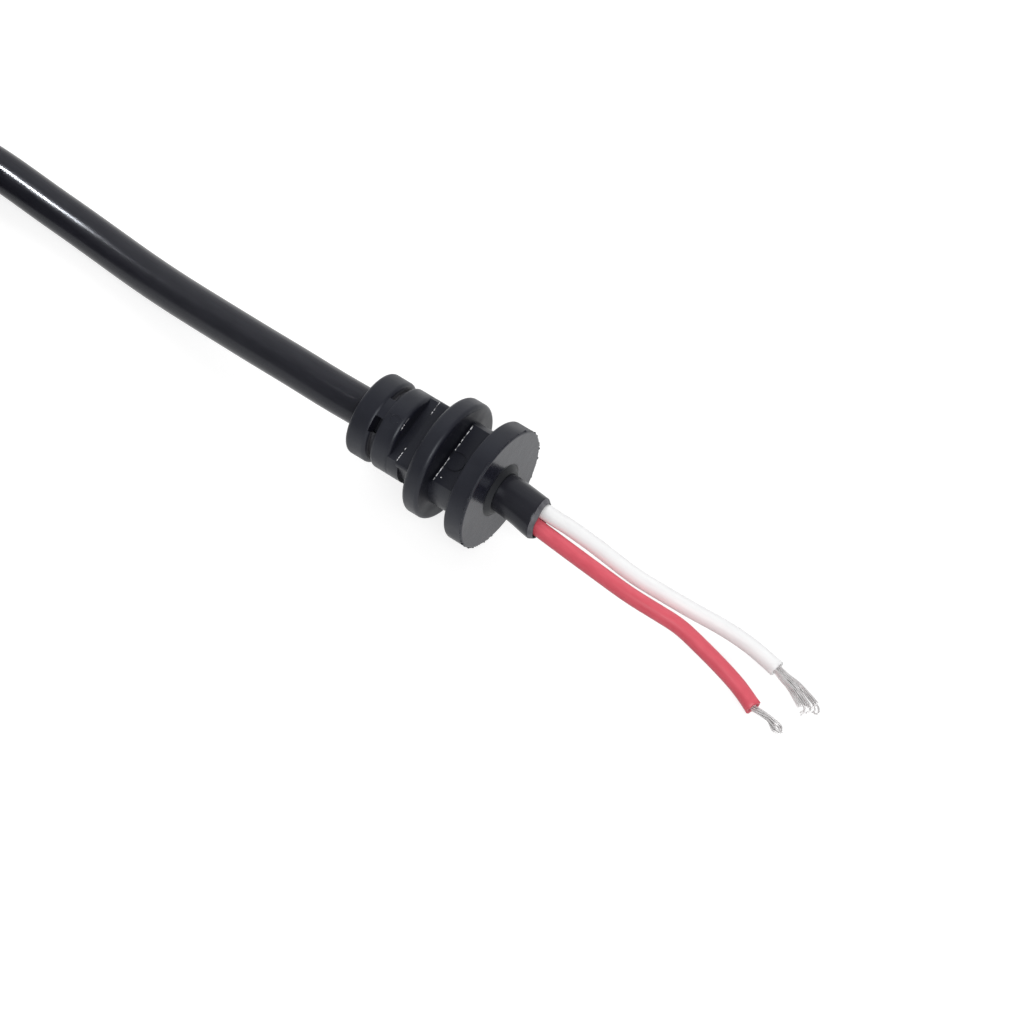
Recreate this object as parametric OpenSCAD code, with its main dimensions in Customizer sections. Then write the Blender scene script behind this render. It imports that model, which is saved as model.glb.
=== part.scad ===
// Laptop DC power cable, lying on a table.
// One end has a moulded strain relief for the wall of an adapter case, a cut jacket and two
// stripped wires. The rest of the cable is folded into a tied hank that ends in a barrel plug.
// Millimetres. +X runs along the strain relief towards the wires and +Z is up from the table.
// The origin is on the table, under the middle of the strain relief and the jacket end.

/* [Cable] */
// Outside diameter of the cable's jacket
cable_d = 4.5; // [4:0.1:5.5]
// Jacket left standing in front of the strain relief
jacket_stub_l = 5.05; // [3:0.05:12]
// Droop of that jacket, in degrees
stub_droop = 6; // [0:0.5:10]
// Swing of that jacket to the left, in degrees
stub_swing = -3; // [-8:0.5:8]
// Depth of the seats that hold the wires in the cut jacket
wire_seat_l = 4; // [1:0.5:6]
// Turn of the pair of wires about the cable's axis, in degrees
wire_turn = 27; // [-60:1:60]

/* [Wires] */
// Outside diameter of one wire's insulation
wire_d = 1.8; // [1.2:0.1:1.9]
// Diameter of one bare strand
strand_d = 0.3; // [0.2:0.02:0.4]
// Bare length of the red wire
red_bare_l = 4.2; // [2:0.1:8]
// Bare length of the white wire
white_bare_l = 6.2; // [2:0.1:9]
// Width across the tip of the red wire's strands, which are twisted together
red_tip_w = 0.9; // [0.6:0.1:2]
// Width across the tip of the white wire's strands, which are splayed
white_tip_w = 2; // [0.8:0.1:4]
// Distance that the red wire's tip bends to the right of its insulation
red_tip_bend = -0.5; // [-2:0.1:2]
// Distance that the white wire's tip bends to the right of its insulation
white_tip_bend = 1.2; // [-2:0.1:2]

/* [Strain relief] */
// Diameter of the ring at the cable's side
rear_ring_d = 9.7; // [7.6:0.1:10]
// Length of that ring
rear_ring_l = 2.7; // [1.5:0.1:5]
// Width of the two side slots behind the second ring
side_slot_w = 0.5; // [0.4:0.1:2]
// Depth of the side slots
side_slot_depth = 0.8; // [0.3:0.1:1.4]
// Width of the bridges between the side slots
bridge_w = 2.4; // [1.5:0.1:4]
// Width of the deep pocket in each side slot, beside the bridge
pocket_w = 1.9; // [1:0.1:2.5]
// Length of the pocket along the cable
pocket_l = 1; // [0.6:0.1:2.2]
// Diameter of the second ring
mid_ring_d = 9.6; // [7.6:0.1:10]
// Length of the second ring
mid_ring_l = 2.6; // [1.5:0.1:5]
// Width of the two cross slots in front of the second ring
cross_slot_w = 1.05; // [0.4:0.05:2]
// Width of the flat neck between the second ring and the inner flange
neck_w = 8.6; // [7.6:0.1:10]
// Length of the neck
neck_l = 2.25; // [1:0.05:5]
// Moulding over the jacket at the neck's two flats
neck_wall = 0.75; // [0.55:0.05:1.4]
// Rounding of the neck's four corners
neck_corner_r = 0.6; // [0.1:0.1:1]
// Diameter of the inner flange
inner_flange_d = 13.9; // [11:0.1:18]
// Thickness of the inner flange
inner_flange_l = 2.15; // [1.5:0.05:4]
// Width of the groove that takes the wall of the case
groove_w = 3.55; // [1.5:0.05:6]
// Diameter of the core in that groove
groove_core_d = 9.9; // [8:0.1:10.5]
// Moulding over the jacket at the core's two flats
groove_wall = 0.95; // [0.55:0.05:1.5]
// Width of the thin cross slots at the back of the groove
groove_slot_w = 0.3; // [0.3:0.1:0.8]
// Diameter of the outer flange
outer_flange_d = 14.2; // [12:0.1:20]
// Thickness of the outer flange
outer_flange_l = 2.35; // [1.5:0.05:4]
// Length of the small collar where the jacket leaves the outer flange
collar_l = 0.5; // [0.3:0.1:1.5]
// Moulding left over the jacket at the bottom of the slots
slot_wall = 0.45; // [0.3:0.05:0.5]
// Edge radius of the rings and the inner flange
ring_edge_r = 0.5; // [0.2:0.1:0.7]
// Edge radius of the outer flange
outer_edge_r = 0.25; // [0.1:0.05:0.6]
// Roll of the strain relief as it lies, in degrees
relief_roll = 14; // [-45:1:45]

/* [Hank] */
// Length of the hank's straight runs
hank_run_l = 40; // [30:1:80]
// Bend radius of the innermost turns, at the middle of the cable
hank_bend_r = 13.5; // [12:0.5:20]
// Turns side by side
hank_columns = 2; // [1:1:3]
// Turns on top of each other
hank_layers = 3; // [2:1:4]
// Width of a tie
tie_w = 4; // [2:0.5:8]
// Thickness of a tie
tie_t = 0.5; // [0.3:0.1:1]

/* [Plug] */
// Outside diameter of the barrel's sleeve
sleeve_d = 5.5; // [4:0.1:6.5]
// Length of the barrel in front of the grip
sleeve_l = 9.5; // [7:0.1:12]
// Wall of the sleeve
sleeve_wall = 0.35; // [0.2:0.05:0.5]
// Bore of the centre contact
contact_bore_d = 2.5; // [1.7:0.1:2.6]
// Wall of the centre contact
contact_wall = 0.3; // [0.2:0.05:0.4]
// Distance of the insulator's nose from the barrel's tip
insulator_recess = 0.5; // [0.2:0.1:2]
// Distance of the centre contact from the barrel's tip
contact_recess = 1.4; // [0.5:0.1:3]
// Depth to which the contacts sit in the grip
contact_seat_l = 3; // [2:0.1:5]
// Diameter of the moulded grip
grip_d = 9.6; // [8.6:0.1:13]
// Length of the grip
grip_l = 12; // [9:0.5:20]
// Shallow flutes round the grip
grip_flutes = 14; // [8:1:20]
// Length of the flex boot behind the grip
boot_l = 9; // [7:0.5:16]
// Diameter of the boot at the cable
boot_d = 6.2; // [6:0.1:8]
// Rings of the boot
boot_rings = 4; // [3:1:6]

/* [Hidden] */
$fn = 96;

// Colours as the photograph shows them
JACKET_BLACK = [0.07, 0.07, 0.08];
MOULDING_BLACK = [0.13, 0.13, 0.14];
INSULATION_RED = [0.84, 0.22, 0.28];
INSULATION_WHITE = [0.93, 0.93, 0.94];
TINNED_COPPER = [0.7, 0.7, 0.71];
NICKEL = [0.78, 0.77, 0.74];
INSULATOR_BLACK = [0.1, 0.1, 0.1];

// Gap between pieces that fit into each other
fit_gap = 0.02;
// Overlap of the shapes that make up one moulding
blend = 0.2;

cable_r = cable_d / 2;
wire_r = wire_d / 2;
slot_floor_w = cable_d + 2 * slot_wall;
neck_flat_w = cable_d + 2 * neck_wall;
groove_flat_w = cable_d + 2 * groove_wall;

// Stations along the strain relief, from its rear face
side_slot_s = rear_ring_l;
mid_ring_s = side_slot_s + side_slot_w;
cross_slot_s = mid_ring_s + mid_ring_l;
neck_s = cross_slot_s + cross_slot_w;
inner_flange_s = neck_s + neck_l;
groove_s = inner_flange_s + inner_flange_l;
outer_flange_s = groove_s + groove_w;
relief_l = outer_flange_s + outer_flange_l;

// The outer flange stands on the table
axis_z = outer_flange_d / 2;
relief_rear_x = -(relief_l + jacket_stub_l) / 2;
jacket_end_x = relief_rear_x + relief_l + jacket_stub_l;

// Wall of the small collar at the flange and at its edge
collar_foot = 1;
collar_lip = 0.25;

// Round mark of the mould's gate on the groove's upper flat, near the thin slot
gate_largest_d = 2.4;
gate_share = 0.68;
gate_d = min(gate_largest_d, gate_share * groove_w);
gate_ahead = 3 / 8 * gate_d;
gate_side = -0.8;
gate_line_w = 0.25;
gate_depth = 0.12;

// The bridges and the pockets in the side slots
bridge_drop = 0.1;
bridge_d = min(rear_ring_d, mid_ring_d) - 2 * bridge_drop;
pocket_turn = asin((bridge_w + pocket_w) / bridge_d);
pocket_floor_r = slot_floor_w / 2 + blend / 2;

// The jacket bends a little in front of the collar
stub_bend_gap = 0.3;
stub_bend = [relief_rear_x + relief_l + collar_l + stub_bend_gap, 0, axis_z];
stub_tip_l = jacket_end_x - stub_bend[0];

// A vector of the straight jacket as it lies in the bent one
function stub_vector(v) =
    let (
        x = v[0] * cos(stub_droop) + v[2] * sin(stub_droop),
        z = v[2] * cos(stub_droop) - v[0] * sin(stub_droop)
    )
    [x * cos(stub_swing) - v[1] * sin(stub_swing), x * sin(stub_swing) + v[1] * cos(stub_swing), z];

stub_dir = stub_vector([1, 0, 0]);
jacket_mouth = stub_bend + stub_tip_l * stub_dir;

// The two wires lie side by side in the jacket
wire_offset = wire_r + 2 * fit_gap;
wire_side = stub_vector([0, cos(wire_turn), sin(wire_turn)]);
red_mouth = jacket_mouth - wire_offset * wire_side;
white_mouth = jacket_mouth + wire_offset * wire_side;

// Routes of the wires: distance ahead of the jacket's end, distance sideways, and height as a
// share of the drop from the jacket to the table
RED_ROUTE = [
    [4.8, -1.2, 0.88], [8.9, -1.4, 0.81], [12.9, -1.5, 0.72], [16.5, -1.2, 0.6], [19, -1, 0.51],
    [22, -1.35, 0.385], [25, -1.8, 0.245], [27.6, -2.3, 0.105], [30.1, -3.2, 0],
];
WHITE_ROUTE = [
    [3, 0.75, 0.92], [6.6, 0.88, 0.79], [11.8, 0.81, 0.615], [15.4, 1.2, 0.495], [18.9, 1.7, 0.365],
    [22, 2.3, 0.235], [25.5, 2.6, 0.095], [29.2, 2.2, 0],
];
// Route of the cable: distance behind the strain relief, distance sideways, and height as a share
// of the drop to the table
CABLE_ROUTE = [
    [5, 0, 0.95], [10, 0.4, 0.84], [15, 0.8, 0.68], [20, 1.3, 0.51], [25, 1.8, 0.34],
    [30, 2.3, 0.19], [35, 2.9, 0.07], [41, 3.6, 0], [48, 4.1, 0],
];
cable_run_l = 57;
cable_run_y = 4.5;
// Straight start of a cord where it leaves a piece
lead_l = 1;

// The hank lies on its ties, and the cable comes into its outermost bottom turn
hank_z = tie_t + fit_gap;
hank_bottom_z = hank_z + cable_r;
hank_h = hank_layers * cable_d;
hank_top_z = hank_z + hank_h;
hank_band_w = hank_columns * cable_d;
hank_in_r = hank_bend_r - cable_r;
hank_out_r = hank_in_r + hank_band_w;
hank_lead_in_l = sqrt(pow(hank_out_r, 2) - pow(hank_out_r - cable_d, 2)) + lead_l;
cable_run_end = [relief_rear_x - cable_run_l, cable_run_y, hank_bottom_z];
hank_x = cable_run_end[0] - hank_lead_in_l;
hank_y = cable_run_y - hank_out_r + cable_r;
hank_band_y = (hank_in_r + hank_out_r) / 2;
tie_back_x = hank_x - tie_w;
tie_front_x = hank_x - hank_run_l + tie_w;

// The tail climbs out of the innermost top turn, goes round the near bend on the others and over
// a tie, and ends in the plug, which lies on the hank
tail_rise = 12;
tail_dir = [cos(tail_rise), 0, sin(tail_rise)];
tail_setback = 10;
tail_start = [hank_x - tail_setback, hank_y - hank_bend_r, hank_top_z + cable_r];
tail_root_l = cable_d / sin(tail_rise);
tail_z = hank_top_z + tie_t + 2 * fit_gap + cable_r;
plug_setback = 38;
plug_l = boot_l + grip_l;
plug_rear_x = hank_x - plug_setback;
plug_y = hank_y + hank_bend_r;
plug_z = hank_top_z + grip_d / 2;
// The tail's last stretch: distance behind the plug, and height as a share of its climb
TAIL_ROUTE = [[30, 0.02], [22, 0.12], [15, 0.32], [9, 0.64], [4.5, 0.91]];
TAIL_BEND = [-75 : 25 : 75];

sleeve_r = sleeve_d / 2;
insulator_out_r = sleeve_r - sleeve_wall - fit_gap;
contact_out_r = contact_bore_d / 2 + contact_wall;
insulator_in_r = contact_out_r + fit_gap;
// Collar that keeps the sleeve in the grip
sleeve_collar_h = 0.5;
sleeve_collar_d = sleeve_d + 2 * sleeve_collar_h;
// Taper of the sleeve's tip, in length and in diameter
sleeve_tip_l = 0.2;
sleeve_tip_loss = 0.2;
contact_floor_l = 1;
grip_edge_r = 0.8;
flute_d = 1.2;
flute_depth = 0.25;
flute_margin = 2;
// Share of the boot's length that its rings take, and their height and edge radius
boot_ring_share = 0.6;
boot_ring_h = 0.5;
boot_edge_r = 0.3;
boot_core_d = boot_d - 2 * boot_ring_h;

CORD_SIDES = 12;
JACKET_SIDES = 32;
WIRE_SIDES = 8;
STRAND_SIDES = 6;
STRANDS = 7;
// Radius of a bundle of strands in strand diameters, and its turn along the bare end, in degrees
STRAND_PACK = 1.2;
STRAND_TWIST = 75;
// Shares of the bare end at which a strand has a ring
STRAND_STATIONS = [0.35, 0.6, 0.8, 1];
// How much shorter every second and third strand is, and how much flatter the tip is
STRAND_STAGGER = 0.12;
STRAND_FLATTEN = 0.4;

// A unit vector along v
function unit(v) = v / norm(v);

// The direction of a line of points at point i
function heading(points, i) =
    unit(points[min(i + 1, len(points) - 1)] - points[max(i - 1, 0)]);

// A ring of points of radius r round the line, with a flat side down
function ring(points, i, r, sides) =
    let (
        ahead = heading(points, i),
        across = unit(cross(ahead, [0, 0, 1])),
        above = cross(across, ahead)
    )
    [
        for (k = [0 : sides - 1])
            let (a = (k + 0.5) * 360 / sides - 90)
            points[i] + r * (cos(a) * across + sin(a) * above)
    ];

// The quads between ring i and the next
function ring_quads(i, sides) = [
    for (k = [0 : sides - 1])
        let (next = (k + 1) % sides)
        [i * sides + k, i * sides + next, (i + 1) * sides + next, (i + 1) * sides + k]
];

// A round cord of diameter d along a line of points
module cord(points, d, sides) {
    last = len(points) - 1;
    rings = [for (i = [0 : last]) each ring(points, i, d / 2, sides)];
    sides_faces = [for (i = [0 : last - 1]) each ring_quads(i, sides)];
    start_face = [for (k = [sides - 1 : -1 : 0]) k];
    end_face = [for (k = [0 : sides - 1]) last * sides + k];
    polyhedron(rings, concat(sides_faces, [start_face], [end_face]));
}

// A disc along +Z with rounded edges
module round_disc(d, l, edge) {
    rotate_extrude() {
        square([d / 2 - edge, l]);
        translate([0, edge]) square([d / 2, l - 2 * edge]);
        for (s = [edge, l - edge]) {
            translate([d / 2 - edge, s]) circle(edge);
        }
    }
}

// A round core along +Z with two flats that face X
module flatted_core(d, flat_w, l) {
    intersection() {
        cylinder(d = d, h = l);
        translate([-flat_w / 2, -d / 2, 0]) cube([flat_w, d, l]);
    }
}

// A bar along +Z with rounded corners, w by h across
module round_bar(w, h, l, corner) {
    linear_extrude(l) {
        square([w - 2 * corner, h], center = true);
        square([w, h - 2 * corner], center = true);
        for (x = [-1, 1], y = [-1, 1]) {
            translate([x * (w / 2 - corner), y * (h / 2 - corner)]) circle(corner);
        }
    }
}

// The rings at the cable's side, with the bridges between them
module relief_rings() {
    round_disc(rear_ring_d, rear_ring_l, ring_edge_r);
    translate([0, 0, side_slot_s - blend]) {
        cylinder(d = bridge_d - 2 * side_slot_depth, h = side_slot_w + 2 * blend);
        rotate(90) flatted_core(bridge_d, bridge_w, side_slot_w + 2 * blend);
    }
    translate([0, 0, mid_ring_s]) round_disc(mid_ring_d, mid_ring_l, ring_edge_r);
    translate([0, 0, cross_slot_s - blend])
        flatted_core(mid_ring_d, slot_floor_w, cross_slot_w + 2 * blend);
    translate([0, 0, neck_s]) round_bar(neck_flat_w, neck_w, neck_l + blend, neck_corner_r);
}

// The pockets beside the bridges, one in each side slot
module slot_pockets() {
    for (turn = [pocket_turn, 180 + pocket_turn]) {
        rotate(turn)
            translate([-bridge_d, -pocket_w / 2, side_slot_s + (side_slot_w - pocket_l) / 2])
                cube([bridge_d - pocket_floor_r, pocket_w, pocket_l]);
    }
}

// The two flanges, with the flatted core that takes the wall of the case
module relief_flanges() {
    translate([0, 0, inner_flange_s]) round_disc(inner_flange_d, inner_flange_l, ring_edge_r);
    translate([0, 0, groove_s - blend])
        flatted_core(groove_core_d, slot_floor_w, groove_slot_w + 2 * blend);
    translate([0, 0, groove_s + groove_slot_w])
        flatted_core(groove_core_d, groove_flat_w, groove_w - groove_slot_w + blend);
    translate([0, 0, outer_flange_s]) round_disc(outer_flange_d, outer_flange_l, outer_edge_r);
    translate([0, 0, relief_l - blend])
        cylinder(r1 = cable_r + collar_foot, r2 = cable_r + collar_lip, h = collar_l + blend);
}

// The gate's ring, sunk into the groove's upper flat
module gate_mark() {
    translate([-groove_flat_w / 2, gate_side, groove_s + groove_slot_w + gate_ahead])
        rotate([0, 90, 0])
            difference() {
                cylinder(d = gate_d, h = 2 * gate_depth, center = true);
                cylinder(d = gate_d - 2 * gate_line_w, h = 3 * gate_depth, center = true);
            }
}

module strain_relief() {
    color(MOULDING_BLACK)
        translate([relief_rear_x, 0, axis_z])
            rotate([relief_roll, 0, 0])
                rotate([0, 90, 0])
                    difference() {
                        union() {
                            relief_rings();
                            relief_flanges();
                        }
                        gate_mark();
                        slot_pockets();
                        translate([0, 0, -blend])
                            cylinder(r = cable_r + fit_gap, h = relief_l + collar_l + 2 * blend);
                    }
}

// The jacket through the strain relief, cut off square, with the seats of the two wires
module jacket_end() {
    color(JACKET_BLACK)
        difference() {
            cord([[relief_rear_x, 0, axis_z], stub_bend, jacket_mouth], cable_d, JACKET_SIDES);
            for (mouth = [red_mouth, white_mouth]) {
                translate(mouth - wire_seat_l * stub_dir)
                    rotate([0, 90 + stub_droop, stub_swing])
                        cylinder(r = wire_r + fit_gap, h = wire_seat_l + blend);
            }
        }
}

// A wire's points, from the bottom of its seat to the end of its insulation
function wire_points(mouth, route) = concat(
    [mouth - (wire_seat_l - fit_gap) * stub_dir, mouth, mouth + lead_l * stub_dir],
    [for (p = route) [mouth[0] + p[0], p[1], wire_r + p[2] * (mouth[2] - wire_r)]]
);

module red_wire() {
    color(INSULATION_RED) cord(wire_points(red_mouth, RED_ROUTE), wire_d, WIRE_SIDES);
}

module white_wire() {
    color(INSULATION_WHITE) cord(wire_points(white_mouth, WHITE_ROUTE), wire_d, WIRE_SIDES);
}

// The bare end of a wire: strands that twist out of its insulation, bend and spread to the tip
module strands(points, bare_l, tip_w, tip_bend) {
    last = len(points) - 1;
    ahead = unit(points[last] - points[last - 1]);
    across = unit(cross(ahead, [0, 0, 1]));
    above = cross(across, ahead);
    level = unit([ahead[0], ahead[1], 0]);
    bundle_r = STRAND_PACK * strand_d;
    tip_r = (tip_w - strand_d) / 2;
    for (k = [0 : STRANDS - 1]) {
        start_turn = k * 360 / STRANDS;
        reach = bare_l * (1 - STRAND_STAGGER * (k % 3));
        start = points[last] + bundle_r * (cos(start_turn) * across + sin(start_turn) * above);
        line = [
            for (t = STRAND_STATIONS)
                let (
                    turn = start_turn + t * STRAND_TWIST,
                    half_w = bundle_r + t * t * (tip_r - bundle_r),
                    half_h = bundle_r * (1 - t * t * STRAND_FLATTEN)
                )
                points[last] + t * reach * level
                    + (t * t * tip_bend + half_w * cos(turn)) * across
                    + half_h * sin(turn) * above
        ];
        cord(concat([start, start + strand_d * ahead], line), strand_d, STRAND_SIDES);
    }
}

module red_wire_strands() {
    color(TINNED_COPPER)
        strands(wire_points(red_mouth, RED_ROUTE), red_bare_l, red_tip_w, red_tip_bend);
}

module white_wire_strands() {
    color(TINNED_COPPER)
        strands(wire_points(white_mouth, WHITE_ROUTE), white_bare_l, white_tip_w, white_tip_bend);
}

// The stretch of cable from the strain relief to the hank
module cable_run() {
    rear = [relief_rear_x, 0, axis_z];
    points = concat(
        [rear, rear - [lead_l, 0, 0]],
        [for (p = CABLE_ROUTE) [rear[0] - p[0], p[1], cable_r + p[2] * (axis_z - cable_r)]],
        [cable_run_end + [lead_l, 0, 0], cable_run_end]
    );
    color(JACKET_BLACK) cord(points, cable_d, CORD_SIDES);
}

// An outline with two straight runs along X and round ends
module long_loop(r) {
    translate([-hank_run_l, -r]) square([hank_run_l, 2 * r]);
    for (x = [0, -hank_run_l]) {
        translate([x, 0]) circle(r);
    }
}

// The outer shape of the turns, with the cable's way in and the root of its tail
module cable_hank() {
    color(JACKET_BLACK) {
        translate([hank_x, hank_y, hank_z])
            linear_extrude(hank_h)
                difference() {
                    long_loop(hank_out_r);
                    long_loop(hank_in_r);
                }
        translate([hank_x, cable_run_y, hank_bottom_z])
            rotate([0, 90, 0]) cylinder(r = cable_r, h = hank_lead_in_l);
        translate(tail_start - tail_root_l * tail_dir)
            rotate([0, 90 - tail_rise, 0]) cylinder(r = cable_r, h = tail_root_l);
    }
}

// The end of the cable, from the hank's top turn to the plug
module cable_tail() {
    climb = plug_z - tail_z;
    plug_rear = [plug_rear_x, plug_y, plug_z];
    points = concat(
        [tail_start, tail_start + lead_l * tail_dir],
        [[hank_x - tail_setback / 2, tail_start[1], tail_z]],
        [
            for (a = TAIL_BEND)
                [hank_x + hank_bend_r * cos(a), hank_y + hank_bend_r * sin(a), tail_z]
        ],
        [for (p = TAIL_ROUTE) [plug_rear_x + p[0], plug_y, tail_z + p[1] * climb]],
        [plug_rear + [lead_l, 0, 0], plug_rear]
    );
    color(JACKET_BLACK) cord(points, cable_d, CORD_SIDES);
}

// A flat band round the turns of one straight run, centred on x and y
module hank_tie(x, y) {
    inner = [hank_h + 2 * fit_gap, hank_band_w + 2 * fit_gap];
    color(JACKET_BLACK)
        translate([x - tie_w / 2, y, hank_z + hank_h / 2])
            rotate([0, 90, 0])
                linear_extrude(tie_w)
                    difference() {
                        union() {
                            square(inner + [0, 2 * tie_t], center = true);
                            square(inner + [2 * tie_t, 0], center = true);
                            for (sx = [-1, 1], sy = [-1, 1]) {
                                translate([sx * inner[0] / 2, sy * inner[1] / 2]) circle(tie_t);
                            }
                        }
                        square(inner, center = true);
                    }
}

module hank_tie_front() {
    hank_tie(tie_front_x, hank_y - hank_band_y);
}

module hank_tie_back() {
    hank_tie(tie_back_x, hank_y + hank_band_y);
}

// Puts a shape that is drawn along +Z from the plug's rear face in its place on the hank
module at_plug() {
    translate([plug_rear_x, plug_y, plug_z]) rotate([0, -90, 0]) children();
}

// Rings on a core, tapering from the cable to the grip
module flex_boot() {
    pitch = boot_l / boot_rings;
    cylinder(d = boot_core_d, h = boot_l + blend);
    for (k = [0 : boot_rings - 1]) {
        d = boot_d + k * (grip_d - boot_d) / boot_rings;
        translate([0, 0, k * pitch]) round_disc(d, boot_ring_share * pitch, boot_edge_r);
    }
}

// The moulded grip with its boot, fluted for the fingers, and the seat of the contacts
module plug_grip() {
    color(MOULDING_BLACK)
        at_plug()
            difference() {
                union() {
                    flex_boot();
                    translate([0, 0, boot_l]) round_disc(grip_d, grip_l, grip_edge_r);
                }
                for (k = [0 : grip_flutes - 1]) {
                    rotate(k * 360 / grip_flutes)
                        translate([(grip_d + flute_d) / 2 - flute_depth, 0, boot_l + flute_margin])
                            cylinder(d = flute_d, h = grip_l - 2 * flute_margin, $fn = 24);
                }
                translate([0, 0, plug_l - contact_seat_l])
                    cylinder(d = sleeve_collar_d + 2 * fit_gap, h = contact_seat_l + blend);
            }
}

// The outer contact: a tube with a rounded tip and a collar inside the grip
module plug_sleeve() {
    color(NICKEL)
        at_plug()
            translate([0, 0, plug_l])
                difference() {
                    union() {
                        translate([0, 0, -contact_seat_l])
                            cylinder(d = sleeve_collar_d, h = contact_seat_l);
                        cylinder(d = sleeve_d, h = sleeve_l - sleeve_tip_l);
                        translate([0, 0, sleeve_l - sleeve_tip_l])
                            cylinder(d1 = sleeve_d, d2 = sleeve_d - sleeve_tip_loss, h = sleeve_tip_l);
                    }
                    translate([0, 0, -contact_seat_l - blend])
                        cylinder(r = sleeve_r - sleeve_wall, h = contact_seat_l + sleeve_l + 2 * blend);
                }
}

// The plastic tube between the two contacts
module plug_insulator() {
    insulator_l = contact_seat_l + sleeve_l - insulator_recess;
    color(INSULATOR_BLACK)
        at_plug()
            translate([0, 0, plug_l - contact_seat_l])
                difference() {
                    cylinder(r = insulator_out_r, h = insulator_l);
                    translate([0, 0, -blend]) cylinder(r = insulator_in_r, h = insulator_l + 2 * blend);
                }
}

// The centre contact: a tube that takes the jack's pin, closed at its root
module plug_centre_contact() {
    contact_l = contact_seat_l + sleeve_l - contact_recess;
    color(NICKEL)
        at_plug()
            translate([0, 0, plug_l - contact_seat_l])
                difference() {
                    cylinder(r = contact_out_r, h = contact_l);
                    translate([0, 0, contact_floor_l]) cylinder(d = contact_bore_d, h = contact_l);
                }
}

strain_relief();
jacket_end();
red_wire();
white_wire();
red_wire_strands();
white_wire_strands();
cable_run();
cable_hank();
cable_tail();
hank_tie_front();
hank_tie_back();
plug_grip();
plug_sleeve();
plug_insulator();
plug_centre_contact();
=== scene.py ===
"""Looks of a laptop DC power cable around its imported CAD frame.

The cable, the two wires, their bare strands and the cut jacket are built here as smooth meshes.
The strain relief, the plug and the ties stay CAD nodes with procedural materials.
Routes are in millimetres, as in the part's source, and are scaled to metres.
"""

import math
import random

import bpy
from mathutils import Matrix, Vector, noise


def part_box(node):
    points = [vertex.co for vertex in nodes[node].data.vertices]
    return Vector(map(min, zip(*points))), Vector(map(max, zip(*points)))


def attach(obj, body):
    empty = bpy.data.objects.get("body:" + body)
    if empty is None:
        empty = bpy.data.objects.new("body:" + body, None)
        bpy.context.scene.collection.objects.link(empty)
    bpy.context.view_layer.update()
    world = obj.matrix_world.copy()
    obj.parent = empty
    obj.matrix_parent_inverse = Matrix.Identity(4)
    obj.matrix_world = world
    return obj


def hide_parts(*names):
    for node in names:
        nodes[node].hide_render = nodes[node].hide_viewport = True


MM = 0.001

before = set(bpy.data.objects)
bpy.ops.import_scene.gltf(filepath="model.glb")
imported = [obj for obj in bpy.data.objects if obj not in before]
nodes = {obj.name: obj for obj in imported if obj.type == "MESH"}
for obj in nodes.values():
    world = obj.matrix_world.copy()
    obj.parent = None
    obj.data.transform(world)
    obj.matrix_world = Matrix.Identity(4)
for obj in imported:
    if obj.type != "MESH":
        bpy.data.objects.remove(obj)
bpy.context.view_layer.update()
scene = bpy.context.scene


def node_span(name, axis):
    """Where a CAD node starts and ends along an axis, in millimetres, to a thousandth."""
    return [round(corner["xyz".index(axis)] / MM, 3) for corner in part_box(name)]


def node_middle(name, axis):
    return sum(node_span(name, axis)) / 2


# Camera
CAMERA_AT = Vector((191.156, -250.872, 460.005)) * MM
CAMERA_TARGET = Vector((8.104, -0.764, 5.651)) * MM
CAMERA_LENS = 182.6


def add_camera():
    data = bpy.data.cameras.new("camera")
    data.lens = CAMERA_LENS
    data.sensor_width = 36
    data.clip_start = 0.01
    data.clip_end = 50
    camera = bpy.data.objects.new("camera", data)
    scene.collection.objects.link(camera)
    back = (CAMERA_AT - CAMERA_TARGET).normalized()
    right = Vector((0, 0, 1)).cross(back).normalized()
    up = back.cross(right)
    turn = Matrix((right, up, back)).transposed().to_4x4()
    camera.matrix_world = Matrix.Translation(CAMERA_AT) @ turn
    scene.camera = camera


add_camera()
scene.view_settings.view_transform = "Standard"

# Sizes of the cable and the wires, as in the part's source
CABLE_D = 4.5
CABLE_R = CABLE_D / 2
WIRE_D = 1.8
WIRE_R = WIRE_D / 2
WIRE_SEAT_L = 4.0

# The strain relief's place, from the frame, and its sizes, as in the part's source
RELIEF_REAR_X, COLLAR_FRONT_X = node_span("strain_relief", "x")
AXIS_Z = node_middle("strain_relief", "z")
RELIEF_L = 17.15
RELIEF_ROLL = math.radians(14)
OUTER_FLANGE_R = 7.1
COLLAR_FOOT_R = CABLE_R + 1.0
# Stations along the strain relief, from its rear face, and the sizes there
SIDE_SLOT_S = 2.7
MID_RING_S, MID_RING_R = 3.2, 4.8
CROSS_SLOT_S = 5.8
NECK_S, NECK_FLAT_H = 6.85, CABLE_R + 0.75
GROOVE_FLAT_S, GROOVE_FLAT_H = 11.55, CABLE_R + 0.95

# The jacket end, which droops and swings a little, and the pair of wires in it
STUB_BEND_GAP = 0.3
STUB_BEND = Vector((COLLAR_FRONT_X + STUB_BEND_GAP, 0, AXIS_Z))
STUB_TIP_L = 4.25
STUB_TURN = Matrix.Rotation(math.radians(-3), 3, "Z") @ Matrix.Rotation(math.radians(6), 3, "Y")
STUB_DIR = STUB_TURN @ Vector((1, 0, 0))
JACKET_MOUTH = STUB_BEND + STUB_TIP_L * STUB_DIR
WIRE_TURN = math.radians(27)
WIRE_SIDE = STUB_TURN @ Vector((0, math.cos(WIRE_TURN), math.sin(WIRE_TURN)))
# Half the distance between the wires, slightly less than in the part's source
WIRE_OFFSET = 0.91
RED_MOUTH = JACKET_MOUTH - WIRE_OFFSET * WIRE_SIDE
WHITE_MOUTH = JACKET_MOUTH + WIRE_OFFSET * WIRE_SIDE

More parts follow.
